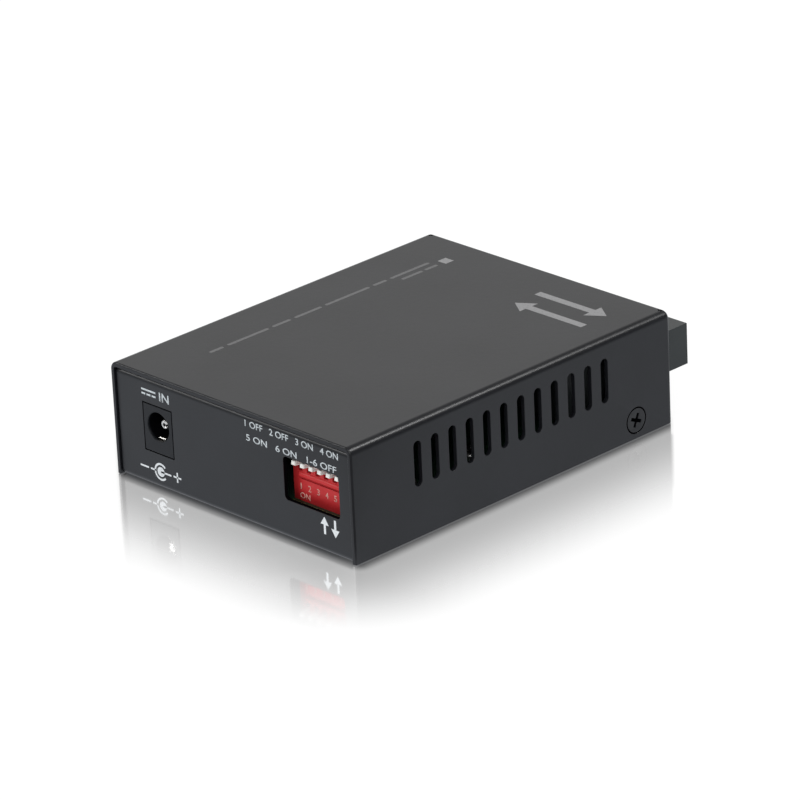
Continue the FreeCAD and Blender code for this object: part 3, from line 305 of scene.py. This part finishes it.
def plated(name, colour, roughness, metallic=1.0, shaded=None):
    """Bright plating over drawn or turned metal, with faint handling marks."""
    metal = Finish(name)
    marks = metal.noise(900, 4.0, 0.65)
    tarnish = metal.noise(260, 3.0)
    shine = roughness + 0.16 * (marks - 0.5) + 0.10 * (tarnish - 0.5)
    return metal.surface(metal.tint(colour, 0.06, 300), shine, marks, 0.004 * mm, 0.06 * mm,
                         metallic, shaded and shaded(metal))


def drawn_tin(name, colour):
    """Tin-plated brass sheet with faint rolling lines."""
    metal = Finish(name)
    lines = metal.noise(160, 4.0, 0.6, metal.stretched(1, 18, 18))
    marks = metal.noise(700, 3.0)
    shine = 0.30 + 0.16 * (lines - 0.5) + 0.10 * (marks - 0.5)
    return metal.surface(metal.tint(colour, 0.06, 200), shine, lines, 0.004 * mm, 0.10 * mm, 1.0)


def laminate(name):
    """Green solder mask over slightly raised, lighter tracks, with a bare rim at the rear."""
    board = Finish(name)
    _, along, _ = board.places()
    lanes = board.node("ShaderNodeTexVoronoi", {"distance": "MANHATTAN", "feature": "F1"},
                       {"Vector": board.place, "Scale": 330, "Randomness": 0.85})
    track = board.between(lanes, 0.42, 0.36)
    weave = board.noise(1600, 2.0)
    mask = board.blend(track * 0.6, (0.0045, 0.024, 0.011, 1.0), (0.012, 0.056, 0.024, 1.0))
    rim = board.between(along, board_y - 0.06 * mm, board_y - 0.02 * mm)
    colour = board.blend(rim, mask, (0.26, 0.25, 0.10, 1.0))
    shine = 0.32 + 0.10 * (weave - 0.5)
    return board.surface(colour, shine, track * 0.8 + weave * 0.2, 0.03 * mm, 0.05 * mm)


def moulded_epoxy(name, colour):
    """Matt chip package, sanded a little."""
    epoxy = Finish(name)
    sand = epoxy.noise(3800, 3.0, 0.7)
    shine = 0.55 + 0.2 * (sand - 0.5)
    return epoxy.surface(epoxy.tint(colour, 0.15, 500), shine, sand, 0.02 * mm, 0.08 * mm)


def lens(name):
    """Milky green indicator lens."""
    glass = Finish(name)
    cloud = glass.noise(420, 3.0)
    tone = glass.blend(cloud, (0.46, 0.62, 0.40, 1.0), (0.64, 0.76, 0.56, 1.0))
    return glass.surface(tone, 0.16 + 0.06 * (cloud - 0.5), cloud, 0.005 * mm, 0.08 * mm,
                         Transmission_Weight=0.25, Subsurface_Weight=0.15)


def ink(name, colour):
    """Screen-printed ink, slightly uneven where the coat's grain shows through."""
    film = Finish(name)
    grain = film.noise(2400, 3.0, 0.6)
    thin = film.between(grain, 0.30, 0.52)
    worn = [channel * 0.80 for channel in colour] + [1.0]
    body = film.blend(thin, worn, [*colour, 1.0])
    return film.surface(body, 0.50 + 0.15 * (grain - 0.5), grain, 0.008 * mm)


finishes = {
    "cover_coat": coated_steel("cover_coat", (0.0080, 0.0088, 0.0110), 0.33, screw_pits),
    "chassis_coat": coated_steel("chassis_coat", (0.0100, 0.0112, 0.0138), 0.36, panel_cuts),
    "black_screw": plated("black_screw", (0.0100, 0.0105, 0.0120), 0.34, 0.0, screw_recess),
    "board_laminate": laminate("board_laminate"),
    "plated_steel": plated("plated_steel", (0.55, 0.55, 0.54), 0.30),
    "jack_plastic": moulded("jack_plastic", (0.0070, 0.0084, 0.0110), 0.42, shaded=jack_bore,
                            Specular_IOR_Level=0.34),
    "nickel_contact": plated("nickel_contact", (0.60, 0.58, 0.54), 0.22),
    "switch_red": moulded("switch_red", (0.49, 0.0200, 0.0230), 0.40, 0.008, 0.10,
                          shaded=switch_shadow, Specular_IOR_Level=0.35),
    "lever_white": moulded("lever_white", (0.78, 0.78, 0.75), 0.40, 0.006, 0.08),
    "transceiver_plastic": moulded("transceiver_plastic", (0.025, 0.030, 0.031), 0.36, 0.016, 0.20),
    "port_plastic": moulded("port_plastic", (0.012, 0.040, 0.110), 0.38),
    "shield_tin": drawn_tin("shield_tin", (0.63, 0.63, 0.61)),
    "socket_plastic": moulded("socket_plastic", (0.012, 0.012, 0.013), 0.44),
    "gold_contact": plated("gold_contact", (0.83, 0.60, 0.24), 0.20),
    "holder_plastic": moulded("holder_plastic", (0.014, 0.014, 0.015), 0.5),
    "lamp_lens": lens("lamp_lens"),
    "chip_epoxy": moulded_epoxy("chip_epoxy", (0.022, 0.022, 0.024)),
    "crystal_can": plated("crystal_can", (0.66, 0.66, 0.65), 0.20),
    "capacitor_sleeve": moulded("capacitor_sleeve", (0.020, 0.022, 0.060), 0.30),
    "ferrite": moulded("ferrite", (0.030, 0.029, 0.028), 0.66, 0.03),
}
pin_nickel = plated("pin_nickel", (0.82, 0.81, 0.78), 0.26, shaded=pin_bore)
pale_ink = ink("pale_ink", (0.54, 0.59, 0.62))
bright_ink = ink("bright_ink", (0.72, 0.76, 0.79))
grey_ink = ink("grey_ink", (0.27, 0.27, 0.275))
faint_ink = ink("faint_ink", (0.135, 0.135, 0.138))
switch_ink = ink("switch_ink", (0.62, 0.30, 0.26))


# ---- pieces ----


slot_of = {row["node"]: row["material_slot"] for row in frame["record"]["subparts"]}
wears = {name: finishes[slot_of[name]] for name in nodes} | {"dc_jack_centre_pin": pin_nickel}


def wear(obj, material):
    obj.data.materials.clear()
    obj.data.materials.append(material)


def add_piece(name, mesh, material, body):
    """A finished mesh, in place, as a piece that rides on a body."""
    obj = bpy.data.objects.new(name, mesh)
    bpy.context.scene.collection.objects.link(obj)
    wear(obj, material)
    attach(obj, body)
    return obj


def smooth_copy(node):
    """A node's own shape with its rounds shaded smooth and its edges kept."""
    shape = bmesh.new()
    shape.from_mesh(nodes[node].data)
    bmesh.ops.remove_doubles(shape, verts=shape.verts, dist=0.0005 * mm)
    bmesh.ops.dissolve_limit(shape, verts=shape.verts, edges=shape.edges,
                             angle_limit=math.radians(0.2), use_dissolve_boundaries=False)
    mesh = bpy.data.meshes.new(node + "_smooth")
    shape.to_mesh(mesh)
    shape.free()
    mesh.shade_smooth()
    mesh.set_sharp_from_angle(angle=math.radians(32))
    obj = add_piece(node + "_smooth", mesh, wears[node], nodes[node]["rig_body"])
    weighted = obj.modifiers.new("weighted", "WEIGHTED_NORMAL")
    weighted.keep_sharp = True
    weighted.weight = 80
    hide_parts(node)


for name, node in nodes.items():
    wear(node, wears[name])
    smooth_copy(name)


# ---- flat shapes for printing, in millimetres ----


ink_proud = 0.012 * mm
ink_sunk = 0.02 * mm
letter_weight = 0.012  # how far a letter's outline is grown, as a share of its size


def outline(points):
    """A flat patch inside a closed outline."""
    shape = bmesh.new()
    corners = [shape.verts.new((x * mm, y * mm, 0)) for x, y in points]
    shape.faces.new(corners)
    return shape


def bar(left, right, low, high, radius=0.0):
    """A bar, with rounded corners where it has a radius."""
    shape = outline([(left, low), (right, low), (right, high), (left, high)])
    if radius:
        bmesh.ops.bevel(shape, geom=shape.verts[:], offset=radius * mm, segments=4, profile=0.5,
                        affect="VERTICES", material=-1)
    return shape


def disc(x, y, radius):
    shape = bmesh.new()
    bmesh.ops.create_circle(shape, cap_ends=True, segments=40, radius=radius * mm,
                            matrix=Matrix.Translation((x * mm, y * mm, 0)))
    return shape


def arc_band(x, y, inner, outer, start, sweep):
    """Part of a flat ring, from a start angle round by a sweep, in degrees."""
    shape = bmesh.new()
    edge = [shape.verts.new((radius * mm, 0, 0)) for radius in (inner, outer)]
    rung = shape.edges.new(edge)
    turn = Matrix.Rotation(math.radians(start), 4, "Z")
    bmesh.ops.transform(shape, matrix=turn, verts=edge)
    bmesh.ops.spin(shape, geom=edge + [rung], axis=(0, 0, 1), cent=(0, 0, 0),
                   angle=math.radians(sweep), steps=36)
    bmesh.ops.translate(shape, verts=shape.verts, vec=(x * mm, y * mm, 0))
    return shape


def arrow(x, low, high, head, stem, upward=True):
    """An arrow up or down the face, with a head and a stem of given widths."""
    tip, tail, back = (high, low, -1) if upward else (low, high, 1)
    neck = tip + back * head * 0.75
    return outline([(x, tip), (x - head / 2, neck), (x - stem / 2, neck), (x - stem / 2, tail),
                    (x + stem / 2, tail), (x + stem / 2, neck), (x + head / 2, neck)])


def words(text, left, right, low, high):
    """Lettering drawn out to fill a box."""
    curve = bpy.data.curves.new("words", "FONT")
    curve.body = text
    curve.offset = letter_weight
    maker = bpy.data.objects.new("words", curve)
    bpy.context.scene.collection.objects.link(maker)
    bpy.context.view_layer.update()
    flat = bpy.data.meshes.new_from_object(maker)
    bpy.data.objects.remove(maker)
    shape = bmesh.new()
    shape.from_mesh(flat)
    bpy.data.meshes.remove(flat)
    bmesh.ops.remove_doubles(shape, verts=shape.verts, dist=1e-6)
    xs = [vert.co.x for vert in shape.verts]
    ys = [vert.co.y for vert in shape.verts]
    wide = (right - left) * mm / (max(xs) - min(xs))
    tall = (high - low) * mm / (max(ys) - min(ys))
    bmesh.ops.translate(shape, verts=shape.verts, vec=(-min(xs), -min(ys), 0))
    bmesh.ops.scale(shape, verts=shape.verts, vec=(wide, tall, 1))
    bmesh.ops.translate(shape, verts=shape.verts, vec=(left * mm, low * mm, 0))
    return shape


def figure(number, x, foot, height):
    """One figure about a middle line. A 1 is narrower than the others."""
    half = 0.2 if number == 1 else 0.42
    return words(str(number), x - half, x + half, foot, foot + height)


def direct_sign(left, low):
    """The sign for direct current: a bar over three dashes."""
    dash, gap, stroke, rise = 1.2, 0.4, 0.4, 0.95
    starts = [left + n * (dash + gap) for n in range(3)]
    row = [bar(start, start + dash, low, low + stroke) for start in starts]
    return row + [bar(left, starts[-1] + dash, low + rise, low + rise + stroke)]


def polarity_sign(x, y):
    """A ring round a pin, with a line from the ring to minus and from the pin to plus."""
    half = 0.2
    line = (y - half, y + half)
    minus = [bar(x - 6.4, x - 3.8, *line), bar(x - 3.2, x - 1.5, *line)]
    socket = [arc_band(x, y, inner=1.55, outer=2.0, start=42, sweep=276), disc(x, y, radius=1.1)]
    plus_x, plus_y = x + 5.1, y + 0.1
    plus = [bar(x, x + 3.2, *line),
            bar(plus_x - 1.2, plus_x + 1.2, plus_y - half, plus_y + half),
            bar(plus_x - half, plus_x + half, plus_y - 1.15, plus_y + 1.15)]
    return minus + socket + plus


def dashes(left, right, middle, height, lengths, gap):
    """A row of dashes of the given shares that stands for a line of print."""
    spare = (right - left) - gap * (len(lengths) - 1)
    unit = spare / sum(lengths)
    row, start = [], left
    for share in lengths:
        end = start + unit * share
        row.append(bar(start, end, middle - height / 2, middle + height / 2, height * 0.35))
        start = end + gap
    return row


def add_print(name, shapes, face, material):
    """Joins flat shapes, gives them the thickness of ink and lays them on a face."""
    joined = bmesh.new()
    for shape in shapes:
        flat = bpy.data.meshes.new("flat")
        shape.to_mesh(flat)
        shape.free()
        joined.from_mesh(flat)
        bpy.data.meshes.remove(flat)
    bmesh.ops.recalc_face_normals(joined, faces=joined.faces)
    for patch in joined.faces:
        if patch.normal.z < 0:
            patch.normal_flip()
    bmesh.ops.translate(joined, verts=joined.verts, vec=(0, 0, ink_proud))
    lifted = bmesh.ops.extrude_face_region(joined, geom=joined.faces[:])
    lower = [item for item in lifted["geom"] if isinstance(item, bmesh.types.BMVert)]
    bmesh.ops.translate(joined, verts=lower, vec=(0, 0, -ink_proud - ink_sunk))
    bmesh.ops.recalc_face_normals(joined, faces=joined.faces)
    bmesh.ops.transform(joined, matrix=face, verts=joined.verts)
    mesh = bpy.data.meshes.new(name)
    joined.to_mesh(mesh)
    joined.free()
    add_piece(name, mesh, material, "case")


# ---- printing ----
# Each face has its own axes: right, up and out, looking at it from outside. Places on it are in
# millimetres from the middle of the object's foot.


def rear_facing(y):
    """A face that looks out of the rear."""
    return Matrix(((-1, 0, 0, 0), (0, 0, 1, y), (0, 1, 0, 0), (0, 0, 0, 1)))


rear_face = rear_facing(rear_y)
switch_face = rear_facing(switch_high.y - 0.5 * mm)
front_face = Matrix(((1, 0, 0, 0), (0, 0, -1, front_y), (0, 1, 0, 0), (0, 0, 0, 1)))
top_face = Matrix(((0, -1, 0, 0), (1, 0, 0, 0), (0, 0, 1, lid_z), (0, 0, 0, 1)))
jack_right, jack_up = -jack_x / mm, jack_z / mm
lever_right = [-x / mm for x in lever_x]

# Above the jack: the sign for direct current, and IN.
add_print("supply_print", [
    *direct_sign(jack_right - 4.6, jack_up + 6.55),
    words("IN", jack_right + 0.9, jack_right + 3.9, jack_up + 6.2, jack_up + 8.2),
], rear_face, pale_ink)

# Below it: which way round the plug is wired.
add_print("polarity_print", polarity_sign(jack_right, jack_up - 10.25), rear_face, bright_ink)

# Above the window: which levers are on and which are off.
add_print("lever_legend_print", [
    words("1 OFF   2 OFF   3 ON   4 ON", 4.4, 32.0, 22.1, 23.6),
    words("5 ON   6 ON   1-6 OFF", 4.6, 31.3, 18.95, 20.45),
], rear_face, pale_ink)

# Below the window: arrows for the two ways that a lever goes.
add_print("lever_way_print", [
    arrow(27.0, 4.3, 8.2, head=2.4, stem=0.6),
    arrow(30.1, 4.3, 8.2, head=2.4, stem=0.6, upward=False),
], rear_face, bright_ink)

# On the switch: a number under each lever, ON, and which way that is.
add_print("switch_number_print", [
    *[figure(n, x, 10.75, 1.4) for n, x in enumerate(lever_right, 1)],
    words("ON", lever_right[0] - 0.4, lever_right[0] + 2.6, 8.75, 10.1),
    arrow(lever_right[-1], 9.2, 10.2, head=0.9, stem=0.25, upward=False),
], switch_face, switch_ink)


def lamp_number(n):
    """A lamp's number: under its lens in the lower row of three, and over it in the upper row."""
    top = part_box(f"lamp_{n}")[1].z / mm
    return figure(n, middle_of(f"lamp_{n}").x / mm, top + (0.2 if n > 3 else -4.2), 1.3)


# On the front: a number by each lamp.
add_print("lamp_number_print", [lamp_number(n) for n in range(1, 7)], front_face, pale_ink)

# On the lid: two opposed arrows, a square and two rows of dashes.
add_print("lid_arrow_print", [
    arrow(-36.6, 7.6, 28.0, head=5.6, stem=1.9),
    arrow(-29.6, 7.6, 28.0, head=5.6, stem=1.9, upward=False),
], top_face, grey_ink)
add_print("lid_square_print", [bar(-38.6, -36.15, -22.3, -19.75)], top_face, grey_ink)
add_print("lid_line_print", [
    *dashes(-34.5, -23.7, -20.75, height=0.9, lengths=(3, 5), gap=0.9),
    *dashes(-34.2, 31.1, -23.05, height=0.9, lengths=(9, 3, 10, 6, 4, 9, 3), gap=1.3),
], top_face, faint_ink)


# ---- floor, light and view ----


def past_corner(across, along, x, y, out_x, out_y):
    """How far a point of the floor lies past a corner of the case, in an outward direction."""
    return (across - x) * out_x + (along - y) * out_y


def floor_white():
    """White from above and clear from below. Before the case the sheet mirrors it, by a painted
    share set by place.
    """
    ground = Finish("floor_white")
    rays = ground.outputs("ShaderNodeLightPath")
    seen, mirrored = rays["Is Camera Ray"], rays["Is Glossy Ray"] + rays["Is Transmission Ray"]
    across, along, _ = ground.places()
    shaded_y = 46.2 * mm
    diagonal = 0.7071
    beside = length(across.beyond(side_x), along.beyond(shaded_y))
    forward = (along - across) * diagonal
    rightward = (along + across) * diagonal
    past_left = past_corner(across, along, side_x, cover_y, 0.6465, 0.763)
    past_right = past_corner(across, along, -side_x, -cover_y, -0.729, -0.684)

    # Painted reflection: how far the sheet mirrors the case is set by place, fading away from it,
    # only on its near side and not past its corners.
    sheen = (0.555 + 0.065 * ground.between(rightward, 4 * mm, 14 * mm)) \
        * (1.0 - ground.between(beside, 3 * mm, 36 * mm))
    # Painted shade: more mirror where the sheet touches the case, which darkens the foot like a
    # contact shadow.
    contact = 0.36 * (1.0 - ground.between(beside, 0.0, 3.8 * mm))
    mirror = (sheen + contact) * ground.between(forward, -16 * mm, -6 * mm) \
        * (1.0 - ground.between(past_left, -0.6 * mm, 0.6 * mm)) \
        * (1.0 - ground.between(past_right, -0.8 * mm, 0.4 * mm))

    # Painted light: how brightly the sheet glows to the case's own gloss, set by place round the
    # case.
    painted_gloss_glow = (0.56 + 0.14 * ground.between(rightward, 0.0, 12 * mm)) \
        * (1.0 - 0.9 * ground.between(forward, 60 * mm, 66 * mm)) \
        * (1.0 - 0.5 * ground.between(forward, -14 * mm, -22 * mm)) \
        * (1.0 - 0.6 * ground.between(beside, 120 * mm, 300 * mm)) \
        + 0.6 * ground.between(forward, -35 * mm, -55 * mm)

    # Lit by the lamps where the case's shadow falls, and plain white further off.
    diffuse = ground.node("ShaderNodeBsdfDiffuse",
                          inputs={"Color": ground.tint((0.86, 0.86, 0.86), 0.01, 3)})
    # Painted light: to the case's gloss the glow is a slightly blue white.
    tone = ground.blend(seen, (0.94, 0.985, 1.06, 1.0), (1, 1, 1, 1))
    glow = ground.node("ShaderNodeEmission",
                       inputs={"Color": tone, "Strength": seen * 1.06 + mirrored * painted_gloss_glow})
    even = (seen + mirrored) * (0.86 + 0.14 * ground.between(beside, 60 * mm, 320 * mm))
    matt = ground.node("ShaderNodeMixShader", inputs={0: even, 1: diffuse, 2: glow})
    shine = ground.node("ShaderNodeBsdfGlossy", inputs={"Color": (1, 1, 1, 1), "Roughness": 0.07})
    both = ground.node("ShaderNodeMixShader", inputs={0: seen * mirror, 1: matt, 2: shine})
    below = ground.outputs("ShaderNodeNewGeometry")["Backfacing"]
    clear = ground.node("ShaderNodeBsdfTransparent")
    sheet = ground.node("ShaderNodeMixShader", inputs={0: below, 1: both, 2: clear})
    ground.node("ShaderNodeOutputMaterial", inputs={"Surface": sheet})
    return ground.material


def make_floor():
    """A white sheet just under the object."""
    shape = bmesh.new()
    bmesh.ops.create_grid(shape, x_segments=1, y_segments=1, size=6.0,
                          matrix=Matrix.Translation((0, 0, -0.03 * mm)))
    mesh = bpy.data.meshes.new("floor")
    shape.to_mesh(mesh)
    shape.free()
    obj = bpy.data.objects.new("floor", mesh)
    bpy.context.scene.collection.objects.link(obj)
    wear(obj, floor_white())


def make_world():
    """White to the camera. To gloss it is a bright backdrop, a dim ceiling and dark sides."""
    world = bpy.data.worlds.new("studio")
    bpy.context.scene.world = world
    world.use_nodes = True
    sky = Recipe(world.node_tree)
    rays = sky.outputs("ShaderNodeLightPath")
    seen, mirrored = rays["Is Camera Ray"], rays["Is Glossy Ray"] + rays["Is Transmission Ray"]
    right, back, up = sky.parts(sky.node("ShaderNodeTexCoord", output="Generated"))
    backdrop = sky.between(right * 0.72 - back * 0.69, 0.66, 0.86)
    ceiling = 0.16 * sky.between(up, 0.38, 0.62)
    rear_wall = 0.10 * sky.between(back, 0.2, 0.5)
    skirt = 0.22 * (1.0 - sky.between(up, 0.0, 0.14))
    dark = 0.05 + ceiling + rear_wall + skirt
    studio = dark + backdrop * (0.76 - dark)
    plain = 0.68
    level = seen + (1.0 - seen) * (plain + mirrored * (studio - plain))
    tone = sky.blend(mirrored * backdrop, (1, 1, 1, 1), (1.0, 0.997, 0.99, 1.0))
    glow = sky.node("ShaderNodeBackground", inputs={"Color": tone, "Strength": level})
    sky.node("ShaderNodeOutputWorld", inputs={"Surface": glow})


def add_softbox(name, direction, distance, width, height, power):
    """A lamp that faces a point just over the middle of the object's foot."""
    lamp = bpy.data.lights.new(name, "AREA")
    lamp.shape = "RECTANGLE"
    lamp.size, lamp.size_y = width, height
    lamp.energy = power
    obj = bpy.data.objects.new(name, lamp)
    bpy.context.scene.collection.objects.link(obj)
    towards = Vector(direction).normalized()
    obj.location = Vector((0, 0, 10 * mm)) + towards * distance
    obj.rotation_euler = (-towards).to_track_quat("-Z", "Y").to_euler()


def make_camera():
    """A long lens that looks down on the rear and one vented side."""
    azimuth, elevation, roll = map(math.radians, (226.3755, 23.2015, 2.7101))
    distance = 1133.22 * mm
    aim = Vector((-1.277, -0.363, 11.277)) * mm
    back = Vector((math.sin(azimuth) * math.cos(elevation),
                   -math.cos(azimuth) * math.cos(elevation), math.sin(elevation)))
    data = bpy.data.cameras.new("view")
    data.lens = 240.08
    data.sensor_width = 36
    data.clip_start, data.clip_end = 0.05, 20
    obj = bpy.data.objects.new("view", data)
    bpy.context.scene.collection.objects.link(obj)
    turn = (-back).to_track_quat("-Z", "Y").to_matrix() @ Matrix.Rotation(-roll, 3, "Z")
    obj.matrix_world = Matrix.Translation(aim + back * distance) @ turn.to_4x4()
    bpy.context.scene.camera = obj


make_floor()
make_world()
add_softbox("side_strip", (-0.43, -0.514, 0.742), 1.5, width=0.16, height=0.22, power=6.2)
add_softbox("rear_strip", (0.665, 0.58, 0.47), 1.5, width=0.5, height=0.14, power=3.6)
add_softbox("fill", (-0.5, 0.75, 0.62), 1.6, width=1.2, height=1.2, power=9)
make_camera()
bpy.context.scene.view_settings.view_transform = "Standard"
